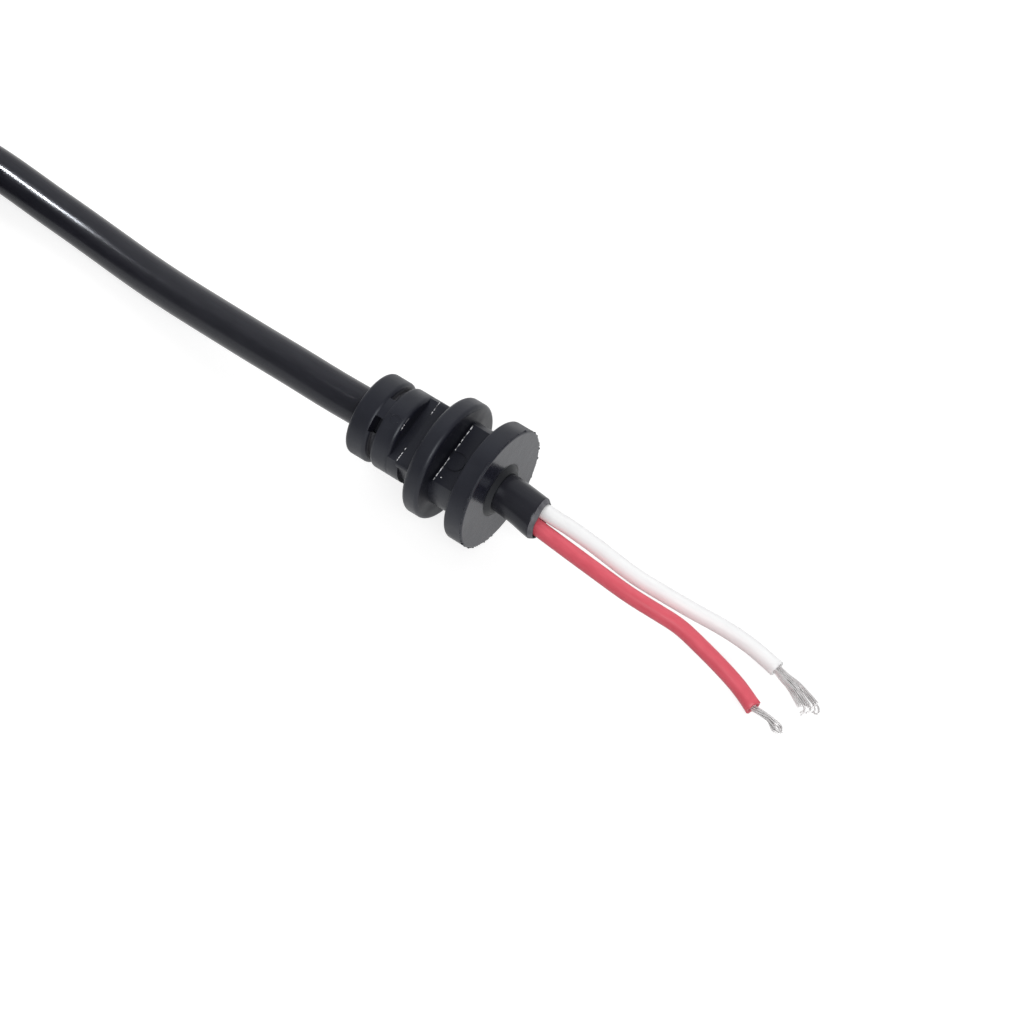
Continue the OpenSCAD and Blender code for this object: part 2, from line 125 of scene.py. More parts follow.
# Distance along, distance sideways and share of the height that is left, as in the part's source
RED_ROUTE = [
    (4.8, -1.2, 0.88), (8.9, -1.4, 0.81), (12.9, -1.5, 0.72), (16.5, -1.2, 0.6), (19, -1, 0.51),
    (22, -1.35, 0.385), (25, -1.8, 0.245), (27.6, -2.3, 0.105), (30.1, -3.2, 0),
]
WHITE_ROUTE = [
    (3, 0.75, 0.92), (6.6, 0.88, 0.79), (11.8, 0.81, 0.615), (15.4, 1.2, 0.495), (18.9, 1.7, 0.365),
    (22, 2.3, 0.235), (25.5, 2.6, 0.095), (29.2, 2.2, 0),
]
CABLE_ROUTE = [
    (5, 0, 0.95), (10, 0.4, 0.84), (15, 0.8, 0.68), (20, 1.3, 0.51), (25, 1.8, 0.34),
    (30, 2.3, 0.19), (35, 2.9, 0.07), (41, 3.6, 0), (48, 4.1, 0),
]
CABLE_RUN_END = Vector((-68.1, 4.5, 2.77))

# The hank: its straight runs, the middle of its near bend, its underside and its two columns' radii
HANK_RUN_L = 40.0
HANK_X = node_middle("cable_hank", "x") + HANK_RUN_L / 2
HANK_Y = node_middle("cable_hank", "y")
HANK_Z = node_span("cable_hank", "z")[0]
INNER_R, OUTER_R = 13.5, 18.0
MEAN_R = (INNER_R + OUTER_R) / 2
HANK_LAP = 2 * HANK_RUN_L + 2 * math.pi * MEAN_R
# Length over which a turn moves to the next place, and how much earlier each turn does so
SHIFT_L = 26.0
SHIFT_STEP = 12.0
TAIL_Z = 16.81
LAYER_Z = [HANK_Z + CABLE_R + n * CABLE_D for n in range(3)]
# Radius and height of each lap, and of the tail on top
LAPS = [
    (OUTER_R, LAYER_Z[0]), (INNER_R, LAYER_Z[0]), (INNER_R, LAYER_Z[1]), (OUTER_R, LAYER_Z[1]),
    (OUTER_R, LAYER_Z[2]), (INNER_R, LAYER_Z[2]), (INNER_R, TAIL_Z),
]
PLUG_AXIS_Y, PLUG_AXIS_Z = (node_middle("plug_centre_contact", axis) for axis in "yz")
PLUG_REAR = Vector((node_span("plug_grip", "x")[1], PLUG_AXIS_Y, PLUG_AXIS_Z))
# Distance behind the plug and share of the tail's climb
TAIL_ROUTE = [
    (30, 0.02), (22, 0.12), (15, 0.32), (9, 0.64), (4.5, 0.91), (1, 1.0), (0, 1.0), (-1.5, 1.0),
]

# Sides of the round cords, of the cut jacket and of thin lines
CORD_SIDES = 28
STUB_SIDES = 48
THIN_SIDES = 6


# Lines and tubes
def ease(value, start, end):
    """Goes smoothly from 0 to 1 while a value goes from its start to its end."""
    t = min(max((value - start) / (end - start), 0.0), 1.0)
    return t * t * (3 - 2 * t)


def spline(points, step):
    """A smooth line through the points, with a point about every step."""
    knots = [Vector(p) for p in points]
    knots = [2 * knots[0] - knots[1]] + knots + [2 * knots[-1] - knots[-2]]
    line = []
    for i in range(1, len(knots) - 2):
        p0, p1, p2, p3 = knots[i - 1 : i + 3]
        d1, d2, d3 = ((b - a).length ** 0.5 for a, b in ((p0, p1), (p1, p2), (p2, p3)))
        m1 = ((p1 - p0) / d1 - (p2 - p0) / (d1 + d2) + (p2 - p1) / d2) * d2
        m2 = ((p2 - p1) / d2 - (p3 - p1) / (d2 + d3) + (p3 - p2) / d3) * d2
        count = max(2, round((p2 - p1).length / step))
        for k in range(count):
            t = k / count
            line.append(
                (2 * t**3 - 3 * t**2 + 1) * p1 + (t**3 - 2 * t**2 + t) * m1
                + (3 * t**2 - 2 * t**3) * p2 + (t**3 - t**2) * m2
            )
    line.append(knots[-2])
    return line


def resample(line, step):
    """The same line with points at equal distances."""
    reach = [0.0]
    for a, b in zip(line, line[1:]):
        reach.append(reach[-1] + (b - a).length)
    count = max(2, round(reach[-1] / step))
    out, j = [], 0
    for k in range(count + 1):
        s = reach[-1] * k / count
        while j < len(line) - 2 and reach[j + 1] < s:
            j += 1
        span = reach[j + 1] - reach[j]
        t = (s - reach[j]) / span if span > 0 else 0.0
        out.append(line[j].lerp(line[j + 1], min(max(t, 0.0), 1.0)))
    return out


def relax(line, rounds):
    """Evens out the bends and keeps both ends."""
    for _ in range(rounds):
        line = (
            line[:2]
            + [(line[i - 1] + 2 * line[i] + line[i + 1]) / 4 for i in range(2, len(line) - 2)]
            + line[-2:]
        )
    return line


def line_length(line):
    return sum((b - a).length for a, b in zip(line, line[1:]))


def frames_along(line):
    """Point, tangent and two cross vectors at each point, without twist."""
    tangents = [
        (line[min(i + 1, len(line) - 1)] - line[max(i - 1, 0)]).normalized() for i in range(len(line))
    ]
    side = tangents[0].cross(Vector((0, 0, 1)))
    if side.length < 1e-6:
        side = Vector((0, 1, 0))
    out = []
    for p, t in zip(line, tangents):
        side = (side - side.dot(t) * t).normalized()
        out.append((p, t, side, side.cross(t)))
    return out


def stations_along(line, radius_at):
    """Stations of a Shell along a line; radius_at gives the radius at a distance along it."""
    stations, reach = [], 0.0
    for i, (p, _, side, above) in enumerate(frames_along(line)):
        if i:
            reach += (p - line[i - 1]).length
        stations.append((p, side, above, radius_at(reach), reach))
    return stations


def mesh_object(name, verts, faces, smooth=True):
    mesh = bpy.data.meshes.new(name)
    mesh.from_pydata([Vector(v) * MM for v in verts], [], faces)
    mesh.update()
    mesh.validate()
    mesh.polygons.foreach_set("use_smooth", [smooth] * len(mesh.polygons))
    obj = bpy.data.objects.new(name, mesh)
    scene.collection.objects.link(obj)
    return obj


class Shell:
    """A closed mesh that is put together from rings of points."""

    def __init__(self):
        self.verts, self.faces, self.marks = [], [], []

    def add(self, stations, sides):
        """Joins stations of (point, side, above, radius, along) with caps at both ends.

        A radius is a number or a function of the angle, which gives a radius or a radius and a
        shift along the tangent.
        """
        first = len(self.verts)
        for p, side, above, radius, along in stations:
            ahead = above.cross(side)
            for k in range(sides):
                a = 2 * math.pi * k / sides
                r = radius(a) if callable(radius) else radius
                r, shift = r if isinstance(r, tuple) else (r, 0.0)
                self.verts.append(p + r * (math.cos(a) * side + math.sin(a) * above) + shift * ahead)
                self.marks.append((along, k / sides))
        last = len(stations) - 1
        for i in range(last):
            a, b = first + i * sides, first + (i + 1) * sides
            for k in range(sides):
                n = (k + 1) % sides
                self.faces.append((a + k, b + k, b + n, a + n))
        self.faces.append(tuple(first + k for k in range(sides)))
        self.faces.append(tuple(first + last * sides + k for k in reversed(range(sides))))

    def add_tube(self, line, radius, sides):
        """Adds a tube; the radius is a number or a function of the share of its length."""
        total = line_length(line)

        def radius_at(reach):
            return radius(reach / total) if callable(radius) else radius

        self.add(stations_along(line, radius_at), sides)

    def build(self, name):
        """Makes the object; a UV map keeps the distance along, in centimetres, and the turn round it."""
        obj = mesh_object(name, self.verts, self.faces)
        uv = obj.data.uv_layers.new(name="cord")
        for poly in obj.data.polygons:
            ids = list(poly.vertices)
            turns = [self.marks[v][1] for v in ids]
            seam = len(ids) == 4 and max(turns) > 0.75 and min(turns) < 0.25
            for loop, v in zip(poly.loop_indices, ids):
                along, around = self.marks[v]
                uv.data[loop].uv = (along / 10, around + 1 if seam and around < 0.25 else around)
        return obj


def tube(name, line, radius, sides):
    shell = Shell()
    shell.add_tube(line, radius, sides)
    return shell.build(name)


# Routes
def hank_point(phase, r, z):
    """A point of the hank's loop; the phase runs from the near bend's end, along the mean turn."""
    bend = math.pi * MEAN_R
    if phase < HANK_RUN_L:
        return Vector((HANK_X - phase, HANK_Y + r, z))
    if phase < HANK_RUN_L + bend:
        a = math.pi / 2 + (phase - HANK_RUN_L) / MEAN_R
        return Vector((HANK_X - HANK_RUN_L + r * math.cos(a), HANK_Y + r * math.sin(a), z))
    if phase < 2 * HANK_RUN_L + bend:
        return Vector((HANK_X - 2 * HANK_RUN_L + phase - bend, HANK_Y - r, z))
    a = -math.pi / 2 + (phase - 2 * HANK_RUN_L - bend) / MEAN_R
    return Vector((HANK_X + r * math.cos(a), HANK_Y + r * math.sin(a), z))


def hank_line(step):
    line = []
    for lap in range(len(LAPS) - 1):
        (r0, z0), (r1, z1) = LAPS[lap], LAPS[lap + 1]
        start = HANK_LAP - lap * SHIFT_STEP - SHIFT_L
        for k in range(round(HANK_LAP / step)):
            phase = k * step
            t = ease(phase, start, start + SHIFT_L)
            line.append(hank_point(phase, r0 + t * (r1 - r0), z0 + t * (z1 - z0)))
    return line


def cable_line():
    """The cable's middle line from inside the strain relief, through the hank, to inside the plug."""
    rear = Vector((RELIEF_REAR_X, 0, AXIS_Z))
    run = [rear + Vector((1.5, 0, 0)), rear, rear - Vector((1, 0, 0))]
    run += [
        Vector((rear.x - d, y, CABLE_R + share * (AXIS_Z - CABLE_R))) for d, y, share in CABLE_ROUTE
    ]
    run += [CABLE_RUN_END + Vector((1, 0, 0)), CABLE_RUN_END]
    turn = hank_line(step=1.5)
    tail = [hank_point(0, INNER_R, TAIL_Z)]
    tail += [
        Vector((PLUG_REAR.x + d, PLUG_REAR.y, TAIL_Z + share * (PLUG_REAR.z - TAIL_Z)))
        for d, share in TAIL_ROUTE
    ]
    line = spline(run, step=1.0)[:-1] + spline([CABLE_RUN_END, turn[0]], step=1.0)[:-1]
    line += turn + spline(tail, step=1.0)
    even = relax(resample(line, step=1.3), rounds=6)
    return [Vector((p.x, p.y, max(p.z, CABLE_R))) for p in even]


def wire_line(mouth, route):
    """A wire's middle line from its seat in the jacket down to the table."""
    points = [mouth - (WIRE_SEAT_L - 0.3) * STUB_DIR, mouth - STUB_DIR, mouth, mouth + STUB_DIR]
    points += [
        Vector((mouth.x + d, y, WIRE_R + share * (mouth.z - WIRE_R))) for d, y, share in route
    ]
    return relax(resample(spline(points, step=0.4), step=0.45), rounds=5)


def relief_point(station, across, height):
    """A point of the strain relief: distance from its rear face, across and above its axis."""
    c, s = math.cos(RELIEF_ROLL), math.sin(RELIEF_ROLL)
    return Vector((RELIEF_REAR_X + station, across * c - height * s, AXIS_Z + across * s + height * c))


def relief_polar(station, r, degrees):
    a = math.radians(degrees)
    return relief_point(station, r * math.cos(a), r * math.sin(a))


# Materials
# The Mix node's sockets for colours
MIX_A, MIX_B, MIX_RESULT = 6, 7, 2


class Material:
    """A Principled material with short ways to add procedural detail."""

    def __init__(self, name, color, roughness, metallic=0.0, specular=0.5):
        self.material = bpy.data.materials.new(name)
        self.material.use_nodes = True
        self.tree = self.material.node_tree
        self.shader = self.tree.nodes["Principled BSDF"]
        self.set("Base Color", (*color, 1))
        self.set("Roughness", roughness)
        self.set("Metallic", metallic)
        self.set("Specular IOR Level", specular)
        self.bump = None

    def set(self, socket, value):
        self.shader.inputs[socket].default_value = value

    def node(self, kind, **values):
        node = self.tree.nodes.new(kind)
        for key, value in values.items():
            setattr(node, key, value)
        return node

    def link(self, a, b):
        self.tree.links.new(a, b)

    def coords(self, scale, uv=None):
        """Scaled object coordinates, or those of a UV map."""
        if uv:
            source = self.node("ShaderNodeUVMap", uv_map=uv).outputs["UV"]
        else:
            source = self.node("ShaderNodeTexCoord").outputs["Object"]
        mapping = self.node("ShaderNodeMapping")
        mapping.inputs["Scale"].default_value = scale
        self.link(source, mapping.inputs["Vector"])
        return mapping.outputs["Vector"]

    def noise(self, scale, detail=3.0, uv=None, size=(1, 1, 1)):
        node = self.node("ShaderNodeTexNoise")
        node.inputs["Scale"].default_value = scale
        node.inputs["Detail"].default_value = detail
        self.link(self.coords(size, uv), node.inputs["Vector"])
        return node.outputs["Fac"]

    def ramp(self, fac, stops):
        """A colour ramp; a stop's value is a colour or a grey level."""
        node = self.node("ShaderNodeValToRGB")
        ramp = node.color_ramp
        while len(ramp.elements) < len(stops):
            ramp.elements.new(0.5)
        for element, (at, value) in zip(ramp.elements, stops):
            element.position = at
            element.color = (*value, 1) if isinstance(value, tuple) else (value, value, value, 1)
        self.link(fac, node.inputs["Fac"])
        return node.outputs["Color"]

    def mix(self, fac, a, b):
        """A colour between a, an output, and b, a colour or a grey level."""
        node = self.node("ShaderNodeMix", data_type="RGBA")
        self.link(fac, node.inputs["Factor"])
        self.link(a, node.inputs[MIX_A])
        node.inputs[MIX_B].default_value = (*b, 1) if isinstance(b, tuple) else (b, b, b, 1)
        return node.outputs[MIX_RESULT]

    def combine(self, operation, a, b):
        """A sum, a product or the like of two outputs, or of an output and a number."""
        node = self.node("ShaderNodeMath", operation=operation)
        self.link(a, node.inputs[0])
        if isinstance(b, (int, float)):
            node.inputs[1].default_value = b
        else:
            self.link(b, node.inputs[1])
        return node.outputs[0]

    def place(self, axis):
        """One of the object's coordinates, in millimetres."""
        split = self.node("ShaderNodeSeparateXYZ")
        self.link(self.node("ShaderNodeTexCoord").outputs["Object"], split.inputs[0])
        return self.combine("DIVIDE", split.outputs[axis], MM)

    def from_axis(self):
        """Distance from the strain relief's axis, in millimetres."""
        up = self.combine("SUBTRACT", self.place("Z"), AXIS_Z)
        across = self.place("Y")
        up_square = self.combine("MULTIPLY", up, up)
        across_square = self.combine("MULTIPLY", across, across)
        return self.combine("POWER", self.combine("ADD", up_square, across_square), 0.5)

    def beyond(self, value, start, end):
        """Goes from 0 to 1 while a value goes from its start to its end."""
        node = self.node("ShaderNodeMapRange")
        node.inputs["From Min"].default_value = start
        node.inputs["From Max"].default_value = end
        self.link(value, node.inputs["Value"])
        return node.outputs["Result"]

    def between(self, value, low, high, soft):
        """1 where a value lies between low and high, with soft edges outside them."""
        above_low = self.beyond(value, low - soft, low)
        below_high = self.beyond(value, high + soft, high)
        return self.combine("MULTIPLY", above_low, below_high)

    def use(self, value, socket):
        self.link(value, self.shader.inputs[socket])

    def color_by(self, fac, stops):
        self.use(self.ramp(fac, stops), "Base Color")

    def roughness_by(self, fac, stops):
        self.use(self.ramp(fac, stops), "Roughness")

    def add_bump(self, height, strength, distance):
        node = self.node("ShaderNodeBump")
        node.inputs["Strength"].default_value = strength
        node.inputs["Distance"].default_value = distance
        self.link(height, node.inputs["Height"])
        if self.bump:
            self.link(self.bump.outputs["Normal"], node.inputs["Normal"])
        self.bump = node
        self.link(node.outputs["Normal"], self.shader.inputs["Normal"])


# Black plastic reflects a little cooler than white
COOL = (0.9, 0.94, 1.0, 1)


def jacket_material():
    look = Material("jacket_black", (0.016, 0.016, 0.022), roughness=0.23, specular=0.34)
    look.set("Specular Tint", COOL)
    tone = look.noise(3, uv="cord", size=(1, 6, 1))
    look.color_by(tone, [(0.3, (0.013, 0.013, 0.018)), (0.75, (0.019, 0.019, 0.025))])
    wear = look.noise(9, 5, uv="cord", size=(1, 3, 1))
    look.roughness_by(wear, [(0.3, 0.19), (0.75, 0.27)])
    look.add_bump(look.noise(2.5, 2, uv="cord", size=(0.6, 9, 1)), strength=0.03, distance=0.0002)
    look.add_bump(look.noise(900, 2), strength=0.04, distance=0.0001)
    return look.material


def start_moulding(name):
    """Black moulded plastic: the material, and the colour and the roughness still to be used."""
    look = Material(name, (0.009, 0.009, 0.015), roughness=0.42)
    look.set("Specular Tint", COOL)
    tone_noise = look.noise(260, 4)
    tone = look.ramp(tone_noise, [(0.25, (0.006, 0.0065, 0.012)), (0.8, (0.011, 0.0115, 0.019))])
    rough = look.ramp(look.noise(420, 4), [(0.3, 0.34), (0.7, 0.5)])
    look.add_bump(look.noise(1500, 3), strength=0.08, distance=0.00012)
    look.add_bump(look.noise(240, 2), strength=0.12, distance=0.0004)
    return look, tone, rough


def moulding_material():
    look, tone, rough = start_moulding("moulding_black")
    look.use(tone, "Base Color")
    look.use(rough, "Roughness")
    return look.material


def relief_material():
    """The moulding with a smoother front face whose lighter tone is painted sheen, a dull collar darkened
    with painted shade, and side slots lightened with painted light.
    """
    look, tone, rough = start_moulding("relief_black")
    x, r = look.place("X"), look.from_axis()
    face_x = RELIEF_REAR_X + RELIEF_L
    on_sheen_painted_face = look.beyond(x, face_x - 0.1, face_x)
    # Painted sheen: a lighter tone on the front face, standing in for the floor's reflection in it; the
    # lower roughness is the face's own finish
    tone = look.mix(on_sheen_painted_face, tone, (0.015, 0.0155, 0.025))
    rough = look.mix(on_sheen_painted_face, rough, 0.19)
    near_jacket = look.beyond(r, COLLAR_FOOT_R + 0.05, COLLAR_FOOT_R - 0.15)
    on_shade_painted_collar = look.combine("MULTIPLY", on_sheen_painted_face, near_jacket)
    # Painted shade: the face round the jacket darkened, standing in for the jacket's shade and its dark
    # reflection there; the higher roughness is the collar's dull finish
    tone = look.mix(on_shade_painted_collar, tone, (0.0015, 0.0015, 0.003))
    rough = look.mix(on_shade_painted_collar, rough, 0.5)
    slot_rear_x, slot_front_x = RELIEF_REAR_X + SIDE_SLOT_S - 0.05, RELIEF_REAR_X + MID_RING_S
    slot_low_r, slot_high_r = 3.6, 4.35
    beside_slot = look.between(x, slot_rear_x, slot_front_x, soft=0.1)
    below_rim = look.between(r, slot_low_r, slot_high_r, soft=0.2)
    painted_light_in_slot = look.combine("MULTIPLY", beside_slot, below_rim)
    # Painted light: the side slots' shaded floor lifted to a paler grey, standing in for light reflected
    # into them
    tone = look.mix(painted_light_in_slot, tone, (0.06, 0.06, 0.068))
    look.use(tone, "Base Color")
    look.use(rough, "Roughness")
    return look.material


def insulation_material(name, dark, light, roughness):
    look = Material(name, light, roughness)
    look.color_by(look.noise(4, 4, uv="cord", size=(1, 2, 1)), [(0.3, dark), (0.7, light)])
    wear = look.noise(14, 4, uv="cord")
    look.roughness_by(wear, [(0.3, roughness - 0.07), (0.7, roughness + 0.1)])
    look.add_bump(look.noise(5, 3, uv="cord", size=(0.8, 4, 1)), strength=0.12, distance=0.0001)
    look.add_bump(look.noise(1600, 2), strength=0.06, distance=0.00008)
    return look.material


def metal_material(name, dark, light, roughness, grain):
    look = Material(name, light, roughness, metallic=1.0)
    look.color_by(look.noise(grain, 4), [(0.3, dark), (0.7, light)])
    look.roughness_by(look.noise(2 * grain, 3), [(0.3, roughness - 0.04), (0.75, roughness + 0.06)])
    look.add_bump(look.noise(4 * grain, 2), strength=0.03, distance=0.00003)
    return look.material


# Painted glints: a pale colour, nearly white in spots, on the thin flash along the slot edges, standing in
# for highlights on those sharp edges
def painted_glint_material():
    look = Material("flash_painted_glint", (0.7, 0.7, 0.72), roughness=0.3)
    look.color_by(look.noise(2600, 2), [(0.42, (0.1, 0.1, 0.11)), (0.56, (0.92, 0.92, 0.94))])
    return look.material


def cut_material():
    look = Material("jacket_cut", (0.05, 0.05, 0.056), roughness=0.6)
    look.color_by(look.noise(1400, 3), [(0.3, (0.08, 0.08, 0.09)), (0.7, (0.16, 0.16, 0.175))])
    look.add_bump(look.noise(2200, 2), strength=0.3, distance=0.0001)
    return look.material


def tie_material():
    look = Material("tie_black", (0.02, 0.02, 0.022), roughness=0.5)
    look.color_by(look.noise(700, 3), [(0.3, (0.014, 0.014, 0.016)), (0.7, (0.03, 0.03, 0.033))])
    ribs = look.node("ShaderNodeTexWave", bands_direction="X")
    ribs.inputs["Scale"].default_value = 700
    look.link(look.coords((1, 1, 1)), ribs.inputs["Vector"])
    look.add_bump(ribs.outputs["Fac"], strength=0.3, distance=0.0001)
    look.roughness_by(look.noise(900, 2), [(0.3, 0.42), (0.7, 0.6)])
    return look.material


JACKET = jacket_material()
MOULDING = moulding_material()
RELIEF = relief_material()
RED = insulation_material("insulation_red", (0.68, 0.085, 0.12), (0.77, 0.11, 0.15), 0.4)
WHITE = insulation_material("insulation_white", (0.91, 0.91, 0.915), (0.96, 0.96, 0.96), 0.4)
STRAND = metal_material("tinned_strand", (0.84, 0.82, 0.82), (0.97, 0.96, 0.96), 0.48, 900)
NICKEL = metal_material("nickel_plate", (0.66, 0.64, 0.6), (0.72, 0.7, 0.66), 0.22, 500)
PAINTED_GLINT = painted_glint_material()
CUT = cut_material()
TIE = tie_material()


def dress(obj, material, replaces=()):
    obj.data.materials.clear()
    obj.data.materials.append(material)
    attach(obj, "root")
    if replaces:
        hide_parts(*replaces)
    return obj


def set_node_material(name, material):
    obj = nodes[name]
    obj.data.materials.clear()
    obj.data.materials.append(material)


# The cable
cable_path = cable_line()
cable = dress(
    tube("cable", cable_path, CABLE_R, CORD_SIDES), JACKET,
    replaces=("cable_run", "cable_hank", "cable_tail"),
)


# The cut jacket in front of the strain relief
# Distance past the mouth, radius and share of the unevenness: the sloping cut, then the bore
STUB_CUT = ((0.02, 2.235, 1), (0.1, 2.2, 1), (0.3, 2.06, 1), (0.48, 1.95, 1), (0.52, 1.9, 1))
STUB_INSIDE = ((0.42, 1.87, 1), (-1, 1.87, 0.4), (-3.6, 1.87, 0))
# The angle at which the cut reaches furthest, and the length that the unevenness takes
CUT_FURTHEST = -0.5
UNEVEN_L = 2.6


def jacket_stub():
    """A bent tube with an uneven cut, hollow where the wires leave it, and its cut faces' numbers."""
    start = STUB_BEND - Vector((1.6, 0, 0))
    points = [start, STUB_BEND - Vector((0.4, 0, 0)), STUB_BEND + 0.6 * STUB_DIR, JACKET_MOUTH]
    line = resample(relax(spline(points, step=0.1), rounds=30), step=0.25)
    total = line_length(line)

    def uneven(a):
        ragged = noise.noise(Vector((1.6 * math.cos(a), 1.6 * math.sin(a), 4.2)))
        return 0.1 + 0.36 * math.cos(a - CUT_FURTHEST) + 0.1 * ragged

    def ring(base, weight):
        def radius(a):
            wave = noise.noise(Vector((2.0 * math.cos(a), 2.0 * math.sin(a), 0.9)))
            bulge = 0.2 * max(0.0, math.cos(a - CUT_FURTHEST))
            return base + (0.025 * wave + bulge) * weight, weight * uneven(a)

        return radius

    def ring_at(reach):
        return ring(CABLE_R, ease(reach, total - UNEVEN_L, total))

    stations = stations_along(line, ring_at)
    first_cut = len(stations)
    p, t, side, above = frames_along(line)[-1]
    for ahead, r, weight in STUB_CUT + STUB_INSIDE:
        stations.append((p + ahead * t, side, above, ring(r, weight), total + ahead))
    shell = Shell()
    shell.add(stations, STUB_SIDES)
    obj = shell.build("jacket_stub")
    cut_rows = range(first_cut, first_cut + len(STUB_CUT) - 1)
    return obj, [row * STUB_SIDES + k for row in cut_rows for k in range(STUB_SIDES)]


stub, stub_cut = jacket_stub()
dress(stub, JACKET, replaces=("jacket_end",))
stub.data.materials.append(CUT)
for index in stub_cut:
    stub.data.polygons[index].material_index = 1


# The wires
# Distance back from the wire's end and radius: the cut, then the hollow round the strands
INSULATION_END = ((-0.05, 0.84), (-0.06, 0.7), (0.0, 0.58), (0.2, 0.52), (0.7, 0.5))
FLARE_L = 0.8


def insulation(name, line, flare):
    """A wire's insulation with a slightly flared, uneven end that is hollow round the strands."""
    total = line_length(line)

    def ring(base, weight):
        def radius(a):
            ragged = noise.noise(Vector((1.4 * math.cos(a), 1.4 * math.sin(a), total)))
            return base + weight * (flare + 0.05 * ragged), weight * 0.14 * ragged

        return radius

    def ring_at(reach):
        return ring(WIRE_R, ease(reach, total - FLARE_L, total))

    stations = stations_along(line, ring_at)
    p, t, side, above = frames_along(line)[-1]
    for back, r in INSULATION_END:
        stations.append((p - back * t, side, above, ring(r, 1 - back), total + back))
    shell = Shell()
    shell.add(stations, CORD_SIDES)
    shell.verts = [Vector((v.x, v.y, max(v.z, 0.0))) for v in shell.verts]
    return shell.build(name)


red_path = wire_line(RED_MOUTH, RED_ROUTE)
white_path = wire_line(WHITE_MOUTH, WHITE_ROUTE)
red = dress(
    insulation("red_insulation", red_path, 0.03), RED, replaces=("red_wire",)
)
white = dress(
    insulation("white_insulation", white_path, 0.02), WHITE,
    replaces=("white_wire",),
)


# The bare strands
STRAND_R = 0.08
# Length of a strand inside the insulation
STRAND_ROOT_L = 0.6
# The red bundle's middle line past the insulation
RED_TIP_ROUTE = [(42.2, -3.28, 0.92), (43.25, -3.37, 0.9), (44.2, -3.66, 0.78), (45.1, -4.03, 0.64)]
RED_OUTER_COUNT, RED_INNER_COUNT = 10, 6
RED_OUTER_RING_R, RED_INNER_RING_R = 0.33, 0.15
RED_TWIST = 2.2
# The eye at the red tip: its middle and half its length as shares of the bundle, and half its width
EYE_AT, EYE_HALF_L, EYE_HALF_W = 0.85, 0.08, 0.25
# The white bundle: the two corners of its splayed tip, and half its width and height at the root
WHITE_COUNT = 40
WHITE_LEFT_TIP, WHITE_RIGHT_TIP = Vector((46.2, 1.25, 0.7)), Vector((44.9, -0.25, 0.55))
WHITE_ROOT_HALF_W, WHITE_ROOT_HALF_H = 0.46, 0.4
# One strand in this many turns back at the tip
HOOK_EVERY = 8
# The lowest that a strand's middle line may lie
STRAND_LOW_Z = 0.12


def strand_bundle(name, lines):
    shell = Shell()
    for line in lines:
        shell.add_tube(resample(spline(line, step=0.12), step=0.16), STRAND_R, THIN_SIDES)
    return dress(shell.build(name), STRAND, replaces=(name,))


def red_strands(path):
    """Strands twisted together, flattened at the tip, where they part round a small eye."""
    draw = random.Random(5)
    end, tangent = path[-1], (path[-1] - path[-2]).normalized()
    frames = frames_along(spline([end - STRAND_ROOT_L * tangent, end, *RED_TIP_ROUTE], step=0.1))
    last = len(frames) - 1
    lines = []
    for k in range(RED_OUTER_COUNT + RED_INNER_COUNT):
        is_outer = k < RED_OUTER_COUNT
        ring_r = RED_OUTER_RING_R if is_outer else RED_INNER_RING_R
        ring_count = RED_OUTER_COUNT if is_outer else RED_INNER_COUNT
        turn = 2 * math.pi * k / ring_count + draw.uniform(-0.15, 0.15)
        stop = round(last * draw.uniform(0.95, 1.0))
        line = []
        for i in range(0, stop + 1, 3):
            p, _, side, above = frames[i]
            t = i / last
            a = turn + RED_TWIST * t
            narrowing = 0.12 * ease(t, 0.0, 0.3)
            widening = 0.8 * ease(t, 0.55, 0.85) - 1.04 * ease(t, 0.88, 0.98)
            flattening = 0.45 * ease(t, 0.5, 1.0)
            across = ring_r * (1 - narrowing + widening) * math.cos(a)
            eye = EYE_HALF_W * math.sqrt(max(0.0, 1 - ((t - EYE_AT) / EYE_HALF_L) ** 2))
            if abs(across) < eye:
                across = math.copysign(eye, across)
            high = ring_r * (1 - flattening) * math.sin(a)
            line.append(p + across * side + high * above)
        lines.append(line)
    return strand_bundle("red_wire_strands", lines + eye_loops(frames[round(last * 0.7) :: 3]))


def eye_loops(frames):
    """Two strands that go round the eye at the red tip, one above the other."""
    p, t, _, above = frames[-1]

    def eye_side(sign):
        return [
            q + sign * 1.5 * EYE_HALF_W * ease(i, 0, 4) * side
            for i, (q, _, side, _) in enumerate(frames[:-1])
        ]

    rim, back = eye_side(1), eye_side(-1)
    lower = rim + [p + 0.2 * t] + back[::-1]
    upper = [q + 0.13 * above for q in rim[:-1] + [p + 0.02 * t] + back[-2::-1]]
    return [lower, upper]


